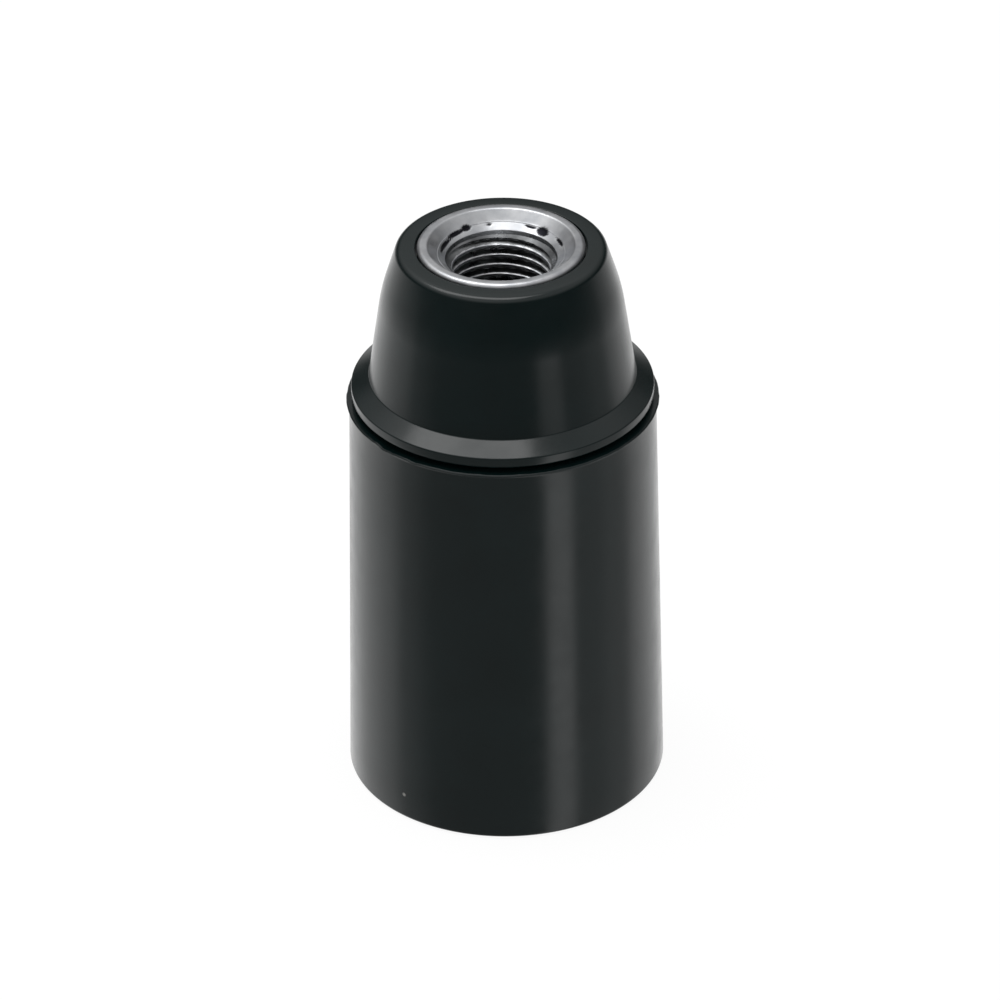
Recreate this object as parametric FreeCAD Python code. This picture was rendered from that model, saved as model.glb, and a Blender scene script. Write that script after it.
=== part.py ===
"""E14 lamp holder in black thermoset: a domed cap with a steel M10 x 1 entry, screwed into a plain skirt.

The skirt carries an inner ledge. An insulating core with the lamp's screw shell, the centre contact
and both terminals sits on that ledge, and the cap's threaded spigot clamps it there from above.
Millimetres, +Z up. The origin is the middle of the skirt's open rim, which the holder stands on.
"""
import FreeCAD, Part
import math
import os

from FreeCAD import Vector

# ---- Skirt -----------------------------------------------------------------------------------
SKIRT_MOUTH_R = 14.96       # outside, at the open rim; the collar, thread and core follow it
SKIRT_DRAFT = 0.60          # how much the outside closes up to the parting gap
SKIRT_HEIGHT = 39.3
SKIRT_WALL = 1.95           # at the mouth
BORE_DRAFT = 0.30           # how much the lower bore closes towards the ledge
RIM_ROUND = 0.35
TOP_EDGE_ROUND = 0.30
SPIGOT_REACH = 5.3          # of the cap's spigot, below the skirt's top
LEDGE_THICK = 2.0
LEDGE_HOLE_R = 8.75
CHAMBER_STEP = 0.10         # the core's chamber is this much wider than the thread's crests
LEDGE_FILLET = 0.8

# ---- Thread between cap and skirt ------------------------------------------------------------
CAP_PITCH = 2.0
THREAD_WALL = 1.26          # of the skirt, behind the groove
CAP_THREAD_DEPTH = 0.80
CAP_THREAD_BASE = 1.30      # the ridge's width at its root
CAP_THREAD_CREST = 0.60     # and at its top
THREAD_CLEARANCE = 0.25     # radial, at crest and root
FLANK_CLEARANCE = 0.20      # along the axis, on each flank
THREAD_RUN_IN = 1.0         # from the spigot's lower end to the groove's first turn
RIDGE_STARTS_AFTER = 0.04   # turns of the groove before the ridge begins
GROOVE_RUNS_PAST = 0.70     # turns of the groove above the skirt's top
THREAD_EMBED = 0.25         # how deep a ridge is sunk in its wall before the two are fused

# ---- Cap -------------------------------------------------------------------------------------
OVERALL_HEIGHT = 55.0       # top of the thermoset
PARTING_GAP = 0.95          # between the skirt's top and the collar
COLLAR_OVERHANG = 0.28      # beyond the skirt's top edge
COLLAR_BAND = 1.05          # height of the collar's upright band
COLLAR_SLOPE = 0.75         # rise of its sloping top
COLLAR_ROUND = 0.28
DOME_FOOT_R = 12.42
DOME_FOOT_ROUND = 0.30
DOME_BEND_R = 11.14         # where the flank turns steeper
DOME_BEND_BELOW_TOP = 4.8
DOME_BEND_ROUND = 18.0
DOME_TOP_R = 9.70
DOME_EDGE_ROUND = 0.60
CAP_WALL = 2.15
SPIGOT_WALL = 1.75
TOP_WALL = 3.0
BOSS_R = 7.90               # boss under the top wall, round the entry bush
BOSS_LENGTH = 6.4           # from the dome's top to the boss's lower face
TONGUE_WIDTH = 4.0          # two tongues below the spigot key the cap to the core
TONGUE_LENGTH = 2.4
TONGUE_CLEARANCE = 0.20
TONGUE_ANGLES = (90.0, 270.0)

# ---- Entry bush and its washer ---------------------------------------------------------------
BUSH_LIP_R = 7.66
BUSH_PROUD = 0.06           # the lip's top above the dome's
BUSH_LIP_HEIGHT = 0.95
BUSH_LIP_ROUND = 0.44
BUSH_SLEEVE_R = 5.75
DISH_TOP_R = 6.72           # the lip's inner edge
DISH_EDGE_ROUND = 0.32
DISH_FLOOR_R = 5.80         # where the dish's wall meets its floor
DISH_DEPTH = 1.40
DISH_ROUND = 0.45
THROAT_R = 5.05             # edge between the dish's floor and the throat
THROAT_ROUND = 0.12
THROAT_CHAMFER_DEPTH = 1.05
ENTRY_BORE_R = 4.46         # M10 x 1, at the thread's crests
CLENCH_R = 6.75             # rolled-out lower end that holds the washer
CLENCH_HEIGHT = 0.8
CLENCH_ROUND = 0.48
RECESS_CLEARANCE = 0.17     # round the lip
SLEEVE_CLEARANCE = 0.08
WASHER_R = 7.6
WASHER_THICK = 0.6
WASHER_TEETH = 4
TOOTH_WIDTH = 1.6
TOOTH_THICK = 0.8
TOOTH_HEIGHT = 1.3
TOOTH_CLEARANCE = 0.10

# ---- Insulating core -------------------------------------------------------------------------
CORE_CLEARANCE = 0.30       # to the chamber's wall
CORE_PLATE = 4.0
CORE_RIM_HEIGHT = 9.0       # from the ledge to the seat of the cap's spigot
CORE_RIM_THICK = 1.45
CORE_BOSS_CLEARANCE = 0.35  # to the ledge's hole
CORE_BOSS_DEPTH = 1.6       # below the ledge's seat
BARRIER_THICK = 1.6         # upright wall between the two poles
BARRIER_HEIGHT = 7.0        # above the plate
BARRIER_ANGLE = -45.0
CHANNEL_WIDTH = 4.4         # groove that houses the centre contact
CHANNEL_DEPTH = 1.2
CHANNEL_START = -7.7        # y of its ends
CHANNEL_FINISH = 3.6

# ---- Screw shell, E14 ------------------------------------------------------------------------
LAMP_PITCH = 2.822
LAMP_CREST_R = 6.25         # inside, on the crests
LAMP_ROOT_R = 7.03          # inside, in the grooves
LAMP_KNUCKLE_R = 0.822      # groove's arc
LAMP_SHOULDER_R = 0.65      # arc from the groove to the crest
LAMP_BLEND = 0.02           # the shoulder arcs dip this far under the plain wall
SHELL_SHEET = 0.40
SHELL_BELOW_SEAT = 16.0     # from the core's seat down to the shell's mouth
SHELL_RIM_R = 8.00          # turned-out rim at the mouth
SHELL_LEAD_R = 7.15         # inside, in the plain collar at the mouth
SHELL_LEAD_LENGTH = 1.5
SHELL_LEAD_SLOPE = 0.9      # height of the cone from the collar to the thread's crests
SHELL_THREAD_LENGTH = 9.0   # crest wall from the cone to the joggle
SHELL_NECK_R = 6.60         # inside, above the joggle
SHELL_JOGGLE = 0.5          # height of the step from the crest wall to the neck
SHELL_LUG_HEIGHT = 1.7      # how far the two lugs stand up from the neck
SHELL_LUG_GAP = 5.8         # width of the gap between the two inward lugs
GROOVE_STOPS_SHORT = 0.5    # turns between the groove's end and the joggle
RIDGE_RUN_OUT = 0.06        # turns that the ridge outside runs past the groove inside

# ---- Centre contact --------------------------------------------------------------------------
LEAF_WIDTH = 3.2
LEAF_SHEET = 0.40
LEAF_PAD_END = -7.1         # y of the riveted end
LEAF_BEND_ROUND = 0.8
LEAF_FALL = 48.0            # degrees
NOSE_BELOW_SEAT = 3.8       # from the core's seat down to the nose, which the lamp touches
NOSE_ROUND = 1.5
TAIL_RISE = 35.0            # degrees
TAIL_LENGTH = 1.4

# ---- Terminals and fasteners -----------------------------------------------------------------
TERMINAL_INSET = 3.30       # from the core's rim in to the screws' middles
NEUTRAL_ANGLE = 45.0
LIVE_ANGLE = 225.0
SHELL_RIVET_X = 4.6
LIVE_RIVET_Y = -5.6
PLATE_SHEET = 0.8
PLATE_END_R = 2.3
PLATE_RIVET_R = 1.9
CLAMP_SIDE = 4.6
CLAMP_THICK = 0.9
CLAMP_CORNER = 0.5
SCREW_R = 1.45              # M3
SCREW_HEAD_R = 2.25
SCREW_HEAD_HEIGHT = 1.8
SCREW_HEAD_ROUND = 0.30
SCREW_LENGTH = 5.4
SCREW_TIP_ROUND = 0.48
SCREW_SLOT_WIDTH = 0.6
SCREW_SLOT_DEPTH = 0.9
SCREW_HOLE_CLEARANCE = 0.07
SCREW_WELL_CLEARANCE = 0.30
RIVET_R = 1.0
RIVET_HEAD_R = 1.45
RIVET_HEAD_HEIGHT = 0.55
RIVET_HEAD_ROUND = 0.33
RIVET_CLEARANCE = 0.05
COUNTERBORE_R = 1.9
COUNTERBORE_DEPTH = 2.0

# ---- Radii that follow from the skirt's ---------------------------------------------------------
SKIRT_TOP_R = SKIRT_MOUTH_R - SKIRT_DRAFT
COLLAR_R = SKIRT_TOP_R + COLLAR_OVERHANG
FEMALE_ROOT_R = SKIRT_TOP_R - THREAD_WALL
SPIGOT_ROOT_R = FEMALE_ROOT_R - THREAD_CLEARANCE - CAP_THREAD_DEPTH
FEMALE_CREST_R = SPIGOT_ROOT_R + THREAD_CLEARANCE
SPIGOT_BORE_R = SPIGOT_ROOT_R - SPIGOT_WALL
CHAMBER_R = FEMALE_CREST_R + CHAMBER_STEP
CORE_R = CHAMBER_R - CORE_CLEARANCE
TERMINAL_R = CORE_R - CORE_RIM_THICK - TERMINAL_INSET

# ---- Levels that follow from the sizes above ---------------------------------------------------
SPIGOT_END = SKIRT_HEIGHT - SPIGOT_REACH
LEDGE_TOP = SPIGOT_END - CORE_RIM_HEIGHT
LEDGE_BOTTOM = LEDGE_TOP - LEDGE_THICK
CAP_THREAD_LEVEL = SPIGOT_END + THREAD_RUN_IN
COLLAR_BOTTOM = SKIRT_HEIGHT + PARTING_GAP
COLLAR_EDGE = COLLAR_BOTTOM + COLLAR_BAND
DOME_FOOT = COLLAR_EDGE + COLLAR_SLOPE
BOSS_BOTTOM = OVERALL_HEIGHT - BOSS_LENGTH
BUSH_TOP = OVERALL_HEIGHT + BUSH_PROUD
LIP_SEAT = BUSH_TOP - BUSH_LIP_HEIGHT
CORE_TOP = LEDGE_TOP + CORE_PLATE
CORE_BOTTOM = LEDGE_TOP - CORE_BOSS_DEPTH
NOSE_Z = LEDGE_TOP - NOSE_BELOW_SEAT
SHELL_MOUTH_Z = LEDGE_TOP - SHELL_BELOW_SEAT
SHELL_LEAD_TOP = SHELL_MOUTH_Z + SHELL_LEAD_LENGTH
SHELL_CREST_Z = SHELL_LEAD_TOP + SHELL_LEAD_SLOPE
SHELL_JOGGLE_Z = SHELL_CREST_Z + SHELL_THREAD_LENGTH
CHANNEL_TOP = CORE_BOTTOM + CHANNEL_DEPTH
PLATE_TOP = CORE_TOP + PLATE_SHEET
CUTTER_REACH = 1.0          # how far a cutting body runs past the faces that it opens


def polar(radius, degrees):
    """X and Y of a point at a radius and an angle from +X."""
    return radius * math.cos(math.radians(degrees)), radius * math.sin(math.radians(degrees))


def rounded_wire(corners):
    """Closed wire in the XZ plane through corners (r, z, rounding). A rounding of 0 keeps a corner sharp."""
    points = [Vector(r, 0, z) for r, z, _ in corners]
    joins = []
    for i, (_, _, rounding) in enumerate(corners):
        here = points[i]
        if not rounding:
            joins.append((here, None, here))
            continue
        back = (points[i - 1] - here).normalize()
        ahead = (points[(i + 1) % len(points)] - here).normalize()
        half = back.getAngle(ahead) / 2
        setback = rounding / math.tan(half)
        inward = (back + ahead).normalize()
        middle = here + inward * (rounding / math.sin(half) - rounding)
        joins.append((here + back * setback, middle, here + ahead * setback))
    edges = []
    for i, (start, middle, end) in enumerate(joins):
        if middle is not None:
            edges.append(Part.Arc(start, middle, end).toShape())
        following = joins[(i + 1) % len(joins)][0]
        edges.append(Part.LineSegment(end, following).toShape())
    return Part.Wire(edges)


def revolved(corners):
    """Solid of revolution about Z from rounded corners (r, z, rounding)."""
    return Part.Face(rounded_wire(corners)).revolve(Vector(0, 0, 0), Vector(0, 0, 1), 360)


def cylinder(radius, bottom, top, x=0.0, y=0.0):
    return Part.makeCylinder(radius, top - bottom, Vector(x, y, bottom))


def block(width, depth, bottom, top, x=0.0, y=0.0):
    """Upright box centred on x, y."""
    return Part.makeBox(width, depth, top - bottom, Vector(x - width / 2, y - depth / 2, bottom))


def turned(shape, degrees):
    """A copy turned about Z."""
    copy = shape.copy()
    copy.rotate(Vector(0, 0, 0), Vector(0, 0, 1), degrees)
    return copy


def helical(profile_edges, radius, pitch, level, first_turn, last_turn):
    """Right-hand helical solid between two turns of a thread that crosses +X at a level on turn 0.

    The profile's edges lie in the XZ plane about z = 0.
    """
    path = Part.makeHelix(pitch, pitch * (last_turn - first_turn), radius)
    sweep = Part.BRepOffsetAPI.MakePipeShell(Part.Wire(path.Edges))
    sweep.setFrenetMode(True)
    sweep.add(Part.Wire(profile_edges))
    sweep.build()
    sweep.makeSolid()
    thread = turned(sweep.shape(), 360 * first_turn)
    thread.translate(Vector(0, 0, level + pitch * first_turn))
    return thread


def cap_thread_profile(inner_r, outer_r, side_clearance):
    """Trapezium between two radii, with the flanks of the cap's thread moved apart by a clearance."""
    taper = (CAP_THREAD_BASE - CAP_THREAD_CREST) / CAP_THREAD_DEPTH

    def half_width(radius):
        return (CAP_THREAD_BASE - taper * (radius - SPIGOT_ROOT_R)) / 2 + side_clearance

    inner, outer = half_width(inner_r), half_width(outer_r)
    corners = [(inner_r, -inner), (outer_r, -outer), (outer_r, outer), (inner_r, inner)]
    return Part.makePolygon([Vector(r, 0, z) for r, z in corners + corners[:1]]).Edges


def skirt():
    """Plain outer shell, open at the bottom, with the core's ledge and the cap's female thread."""
    bore_r = SKIRT_MOUTH_R - SKIRT_WALL
    body = revolved([
        (bore_r, 0, RIM_ROUND),
        (SKIRT_MOUTH_R, 0, RIM_ROUND),
        (SKIRT_TOP_R, SKIRT_HEIGHT, TOP_EDGE_ROUND),
        (FEMALE_CREST_R, SKIRT_HEIGHT, 0),
        (FEMALE_CREST_R, SPIGOT_END, 0),
        (CHAMBER_R, SPIGOT_END - CORE_CLEARANCE, 0),
        (CHAMBER_R, LEDGE_TOP, 0),
        (LEDGE_HOLE_R, LEDGE_TOP, 0),
        (LEDGE_HOLE_R, LEDGE_BOTTOM, RIM_ROUND),
        (bore_r - BORE_DRAFT, LEDGE_BOTTOM, LEDGE_FILLET),
    ])
    groove = cap_thread_profile(FEMALE_CREST_R - THREAD_CLEARANCE, FEMALE_ROOT_R, FLANK_CLEARANCE)
    turns = (SKIRT_HEIGHT - CAP_THREAD_LEVEL) / CAP_PITCH
    return body.cut(helical(groove, SPIGOT_ROOT_R, CAP_PITCH, CAP_THREAD_LEVEL, 0,
                            turns + GROOVE_RUNS_PAST))


def cap():
    """Domed cap with its collar, its threaded spigot below and the seat of the entry bush on top."""
    foot_bore_r = DOME_FOOT_R - CAP_WALL
    top_bore_r = DOME_TOP_R - CAP_WALL + (DOME_BEND_R - DOME_TOP_R) * TOP_WALL / DOME_BEND_BELOW_TOP
    lip_well_r = BUSH_LIP_R + RECESS_CLEARANCE
    sleeve_hole_r = BUSH_SLEEVE_R + SLEEVE_CLEARANCE
    body = revolved([
        (SPIGOT_BORE_R, SPIGOT_END, 0),
        (SPIGOT_ROOT_R, SPIGOT_END, RIM_ROUND),
        (SPIGOT_ROOT_R, COLLAR_BOTTOM, RIM_ROUND),
        (COLLAR_R, COLLAR_BOTTOM, COLLAR_ROUND),
        (COLLAR_R, COLLAR_EDGE, COLLAR_ROUND),
        (DOME_FOOT_R, DOME_FOOT, DOME_FOOT_ROUND),
        (DOME_BEND_R, OVERALL_HEIGHT - DOME_BEND_BELOW_TOP, DOME_BEND_ROUND),
        (DOME_TOP_R, OVERALL_HEIGHT, DOME_EDGE_ROUND),
        (lip_well_r, OVERALL_HEIGHT, 0),
        (lip_well_r, LIP_SEAT, 0),
        (sleeve_hole_r, LIP_SEAT, 0),
        (sleeve_hole_r, BOSS_BOTTOM, 0),
        (BOSS_R, BOSS_BOTTOM, RIM_ROUND),
        (BOSS_R, OVERALL_HEIGHT - TOP_WALL, 0),
        (top_bore_r, OVERALL_HEIGHT - TOP_WALL, 0),
        (foot_bore_r, DOME_FOOT, 0),
        (SPIGOT_BORE_R, COLLAR_BOTTOM, 0),
    ])
    ridge = cap_thread_profile(SPIGOT_ROOT_R - THREAD_EMBED, SPIGOT_ROOT_R + CAP_THREAD_DEPTH, 0)
    turns = (SKIRT_HEIGHT - CAP_THREAD_BASE / 2 - CAP_THREAD_LEVEL) / CAP_PITCH
    body = body.fuse(helical(ridge, SPIGOT_ROOT_R, CAP_PITCH, CAP_THREAD_LEVEL, RIDGE_STARTS_AFTER, turns))
    tongue = ring_sector(SPIGOT_BORE_R + TONGUE_CLEARANCE, SPIGOT_ROOT_R - TONGUE_CLEARANCE,
                         TONGUE_WIDTH, SPIGOT_END - TONGUE_LENGTH, SPIGOT_END + RIM_ROUND)
    body = body.fuse([turned(tongue, angle) for angle in TONGUE_ANGLES])
    return body.cut(washer_teeth(TOOTH_CLEARANCE)).removeSplitter()


def ring_sector(inner_r, outer_r, width, bottom, top):
    """The part of a ring that lies within a width across +X."""
    ring = cylinder(outer_r, bottom, top).cut(cylinder(inner_r, bottom, top))
    return ring.common(block(outer_r + CUTTER_REACH, width, bottom, top, (outer_r + CUTTER_REACH) / 2))


def entry_bush():
    """Steel bush: rounded lip, dished mouth, threaded sleeve, and a lower end clenched under the washer."""
    floor_z = BUSH_TOP - DISH_DEPTH
    clench_top = BOSS_BOTTOM - WASHER_THICK
    bottom = clench_top - CLENCH_HEIGHT
    return revolved([
        (ENTRY_BORE_R, bottom, 0),
        (CLENCH_R, bottom, CLENCH_ROUND),
        (CLENCH_R, clench_top, 0),
        (BUSH_SLEEVE_R, clench_top, 0),
        (BUSH_SLEEVE_R, LIP_SEAT, 0),
        (BUSH_LIP_R, LIP_SEAT, BUSH_LIP_ROUND),
        (BUSH_LIP_R, BUSH_TOP, BUSH_LIP_ROUND),
        (DISH_TOP_R, BUSH_TOP, DISH_EDGE_ROUND),
        (DISH_FLOOR_R, floor_z, DISH_ROUND),
        (THROAT_R, floor_z, THROAT_ROUND),
        (ENTRY_BORE_R, floor_z - THROAT_CHAMFER_DEPTH, 0),
    ])


def washer_teeth(clearance):
    """The washer's upturned teeth, or with a clearance the slots that they sit in."""
    middle_r = WASHER_R - TOOTH_THICK / 2
    tooth = block(TOOTH_THICK + 2 * clearance, TOOTH_WIDTH + 2 * clearance, BOSS_BOTTOM - WASHER_THICK / 2,
                  BOSS_BOTTOM + TOOTH_HEIGHT + clearance, middle_r)
    tooth = tooth.common(cylinder(WASHER_R + clearance, BOSS_BOTTOM - WASHER_THICK, OVERALL_HEIGHT))
    return [turned(tooth, 360 * n / WASHER_TEETH) for n in range(WASHER_TEETH)]


def bush_washer():
    """Toothed steel washer between the cap's boss and the bush's clenched end."""
    ring = cylinder(WASHER_R, BOSS_BOTTOM - WASHER_THICK, BOSS_BOTTOM)
    ring = ring.cut(cylinder(BUSH_SLEEVE_R + SLEEVE_CLEARANCE, BOSS_BOTTOM - WASHER_THICK, BOSS_BOTTOM))
    return ring.fuse(washer_teeth(0)).removeSplitter()


def rivet_places():
    """Name, x, y, lower and upper seat of each rivet's heads."""
    lug_bottom = CORE_BOTTOM - SHELL_SHEET
    return [
        ("neutral_rivet", SHELL_RIVET_X, 0.0, lug_bottom, PLATE_TOP),
        ("shell_rivet", -SHELL_RIVET_X, 0.0, lug_bottom, CORE_TOP - COUNTERBORE_DEPTH),
        ("live_rivet", 0.0, LIVE_RIVET_Y, CHANNEL_TOP - LEAF_SHEET, PLATE_TOP),
    ]


def insulator_core():
    """Moulded core: a round plate with a keyed rim, a boss for the shell and a wall between the poles."""
    rim_top = SPIGOT_END
    body = cylinder(CORE_R, LEDGE_TOP, rim_top)
    body = body.cut(cylinder(CORE_R - CORE_RIM_THICK, CORE_TOP, rim_top))
    body = body.fuse(cylinder(LEDGE_HOLE_R - CORE_BOSS_CLEARANCE, CORE_BOTTOM, LEDGE_TOP))
    barrier = block(2 * (CORE_R - CORE_RIM_THICK / 2), BARRIER_THICK, CORE_TOP, CORE_TOP + BARRIER_HEIGHT)
    barrier = barrier.common(cylinder(SPIGOT_BORE_R - CORE_CLEARANCE, CORE_TOP, CORE_TOP + BARRIER_HEIGHT)
                             .fuse(cylinder(CORE_R - CORE_RIM_THICK / 2, CORE_TOP, rim_top - TONGUE_LENGTH)))
    body = body.fuse(turned(barrier, BARRIER_ANGLE)).removeSplitter()
    notch = block(CORE_RIM_THICK + 2 * CUTTER_REACH, TONGUE_WIDTH + 2 * TONGUE_CLEARANCE,
                  rim_top - TONGUE_LENGTH - TONGUE_CLEARANCE, rim_top + CUTTER_REACH,
                  CORE_R - CORE_RIM_THICK / 2)
    cuts = [turned(notch, angle) for angle in TONGUE_ANGLES]
    cuts.append(block(CHANNEL_WIDTH, CHANNEL_FINISH - CHANNEL_START, CORE_BOTTOM - CUTTER_REACH, CHANNEL_TOP,
                      0, (CHANNEL_START + CHANNEL_FINISH) / 2))
    below, above = CORE_BOTTOM - CUTTER_REACH, CORE_TOP + CUTTER_REACH
    for _, x, y, _, _ in rivet_places():
        cuts.append(cylinder(RIVET_R + RIVET_CLEARANCE, below, above, x, y))
    cuts.append(cylinder(COUNTERBORE_R, CORE_TOP - COUNTERBORE_DEPTH, above, -SHELL_RIVET_X, 0))
    well_bottom = PLATE_TOP + CLAMP_THICK - SCREW_LENGTH - SCREW_WELL_CLEARANCE
    for angle in (LIVE_ANGLE, NEUTRAL_ANGLE):
        x, y = polar(TERMINAL_R, angle)
        cuts.append(cylinder(SCREW_R + SCREW_WELL_CLEARANCE, well_bottom, above, x, y))
    return body.cut(cuts)


def knuckle_profile(offset, inner_r):
    """Closed section of the lamp thread's groove, grown by an offset, down to an inner radius."""
    groove_r = LAMP_KNUCKLE_R + offset
    shoulder_r = LAMP_SHOULDER_R - offset
    groove_mid = LAMP_ROOT_R - LAMP_KNUCKLE_R
    shoulder_mid = LAMP_CREST_R - LAMP_BLEND + LAMP_SHOULDER_R
    reach = LAMP_KNUCKLE_R + LAMP_SHOULDER_R
    half = math.sqrt(reach ** 2 - (shoulder_mid - groove_mid) ** 2)
    lean = math.atan2(half, shoulder_mid - groove_mid)
    tangent = (groove_mid + groove_r * math.cos(lean), groove_r * math.sin(lean))
    low_turn = (math.pi + lean) / 2 + math.pi / 2
    middle = (shoulder_mid + shoulder_r * math.cos(low_turn), half + shoulder_r * math.sin(low_turn))
    low = (shoulder_mid - shoulder_r, half)

    def at(point, side=1):
        return Vector(point[0], 0, side * point[1])

    return [
        Part.LineSegment(at((inner_r, half), -1), at(low, -1)).toShape(),
        Part.Arc(at(low, -1), at(middle, -1), at(tangent, -1)).toShape(),
        Part.Arc(at(tangent, -1), at((groove_mid + groove_r, 0)), at(tangent)).toShape(),
        Part.Arc(at(tangent), at(middle), at(low)).toShape(),
        Part.LineSegment(at(low), at((inner_r, half))).toShape(),
        Part.LineSegment(at((inner_r, half)), at((inner_r, half), -1)).toShape(),
    ]


def screw_shell():
    """Rolled sheet shell with the E14 knuckle thread inside and out, a turned-out rim and two inward lugs.

    A plain collar at the mouth leads the lamp's cap in to the thread.
    """
    lead_outer_r = SHELL_LEAD_R + SHELL_SHEET
    crest_outer_r = LAMP_CREST_R + SHELL_SHEET
    neck_outer_r = SHELL_NECK_R + SHELL_SHEET
    neck_z = SHELL_JOGGLE_Z + SHELL_JOGGLE
    body = revolved([
        (0, SHELL_MOUTH_Z, 0),
        (SHELL_RIM_R, SHELL_MOUTH_Z, 0),
        (SHELL_RIM_R, SHELL_MOUTH_Z + SHELL_SHEET, 0),
        (lead_outer_r, SHELL_MOUTH_Z + SHELL_SHEET, 0),
        (lead_outer_r, SHELL_LEAD_TOP, 0),
        (crest_outer_r, SHELL_CREST_Z, 0),
        (crest_outer_r, SHELL_JOGGLE_Z, 0),
        (neck_outer_r, neck_z, 0),
        (neck_outer_r, CORE_BOTTOM, SHELL_SHEET),
        (0, CORE_BOTTOM, 0),
    ])
    turns = (SHELL_JOGGLE_Z - SHELL_LEAD_TOP) / LAMP_PITCH - GROOVE_STOPS_SHORT
    ridge = helical(knuckle_profile(SHELL_SHEET, crest_outer_r - SHELL_SHEET / 2), LAMP_CREST_R, LAMP_PITCH,
                    SHELL_LEAD_TOP, 0, turns + RIDGE_RUN_OUT)
    body = body.fuse(ridge.common(cylinder(SHELL_RIM_R, SHELL_MOUTH_Z, CORE_BOTTOM)))
    body = body.cut(revolved([
        (0, SHELL_MOUTH_Z - CUTTER_REACH, 0),
        (SHELL_LEAD_R, SHELL_MOUTH_Z - CUTTER_REACH, 0),
        (SHELL_LEAD_R, SHELL_LEAD_TOP, 0),
        (LAMP_CREST_R, SHELL_CREST_Z, 0),
        (LAMP_CREST_R, SHELL_JOGGLE_Z, 0),
        (SHELL_NECK_R, neck_z, 0),
        (SHELL_NECK_R, CORE_BOTTOM - SHELL_SHEET, 0),
        (0, CORE_BOTTOM - SHELL_SHEET, 0),
    ]))
    body = body.cut(helical(knuckle_profile(0, LAMP_CREST_R - SHELL_SHEET), LAMP_CREST_R, LAMP_PITCH,
                            SHELL_LEAD_TOP, 0, turns))
    gap = block(SHELL_LUG_GAP, 2 * SHELL_RIM_R, CORE_BOTTOM - SHELL_LUG_HEIGHT, CORE_BOTTOM + CUTTER_REACH)
    holes = [cylinder(RIVET_R + RIVET_CLEARANCE, CORE_BOTTOM - CUTTER_REACH, CORE_BOTTOM + CUTTER_REACH, x)
             for x in (SHELL_RIVET_X, -SHELL_RIVET_X)]
    return body.cut([gap] + holes)


def leaf_path():
    """Middle line of the centre contact in the YZ plane: pad, fall, nose and tail."""
    pad_z = CHANNEL_TOP - LEAF_SHEET / 2
    fall, rise = math.radians(LEAF_FALL), math.radians(TAIL_RISE)
    nose_r = NOSE_ROUND - LEAF_SHEET / 2
    nose_mid = NOSE_Z + NOSE_ROUND
    touch = Vector(0, -nose_r * math.sin(fall), nose_mid - nose_r * math.cos(fall))
    leave = Vector(0, nose_r * math.sin(rise), nose_mid - nose_r * math.cos(rise))
    bend_y = touch.y - (pad_z - touch.z) / math.tan(fall)
    setback = LEAF_BEND_ROUND * math.tan(fall / 2)
    bend_mid = pad_z - LEAF_BEND_ROUND
    arc_start = Vector(0, bend_y - setback, pad_z)
    arc_end = Vector(0, bend_y + setback * math.cos(fall), pad_z - setback * math.sin(fall))
    arc_middle = Vector(0, arc_start.y + LEAF_BEND_ROUND * math.sin(fall / 2),
                        bend_mid + LEAF_BEND_ROUND * math.cos(fall / 2))
    tail = leave + Vector(0, math.cos(rise), math.sin(rise)) * TAIL_LENGTH
    return Part.Wire([
        Part.LineSegment(Vector(0, LEAF_PAD_END, pad_z), arc_start).toShape(),
        Part.Arc(arc_start, arc_middle, arc_end).toShape(),
        Part.LineSegment(arc_end, touch).toShape(),
        Part.Arc(touch, Vector(0, 0, NOSE_Z + LEAF_SHEET / 2), leave).toShape(),
        Part.LineSegment(leave, tail).toShape(),
    ])


def centre_contact():
    """Sprung bronze leaf, riveted at one end, whose rounded nose meets the lamp's centre contact."""
    pad_z = CHANNEL_TOP - LEAF_SHEET / 2
    half_w, half_t = LEAF_WIDTH / 2, LEAF_SHEET / 2
    section = Part.makePolygon([
        Vector(-half_w, LEAF_PAD_END, pad_z - half_t),
        Vector(half_w, LEAF_PAD_END, pad_z - half_t),
        Vector(half_w, LEAF_PAD_END, pad_z + half_t),
        Vector(-half_w, LEAF_PAD_END, pad_z + half_t),
        Vector(-half_w, LEAF_PAD_END, pad_z - half_t),
    ])
    leaf = leaf_path().makePipeShell([section], True, False)
    hole_r = RIVET_R + RIVET_CLEARANCE
    return leaf.cut(cylinder(hole_r, pad_z - CUTTER_REACH, pad_z + CUTTER_REACH, 0, LIVE_RIVET_Y))


def terminal(rivet_xy, screw_angle):
    """Flat brass terminal plate from a rivet to its screw."""
    screw_x, screw_y = polar(TERMINAL_R, screw_angle)
    rivet_x, rivet_y = rivet_xy
    run = Vector(screw_x - rivet_x, screw_y - rivet_y, 0)
    heading = math.degrees(math.atan2(run.y, run.x))
    bar = block(run.Length, 2 * PLATE_RIVET_R, CORE_TOP, PLATE_TOP, run.Length / 2)
    bar = turned(bar, heading)
    bar.translate(Vector(rivet_x, rivet_y, 0))
    plate = bar.fuse([
        cylinder(PLATE_RIVET_R, CORE_TOP, PLATE_TOP, rivet_x, rivet_y),
        cylinder(PLATE_END_R, CORE_TOP, PLATE_TOP, screw_x, screw_y),
    ]).removeSplitter()
    return plate.cut([
        cylinder(RIVET_R + RIVET_CLEARANCE, CORE_TOP, PLATE_TOP, rivet_x, rivet_y),
        cylinder(SCREW_R + SCREW_HOLE_CLEARANCE, CORE_TOP, PLATE_TOP, screw_x, screw_y),
    ])


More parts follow.
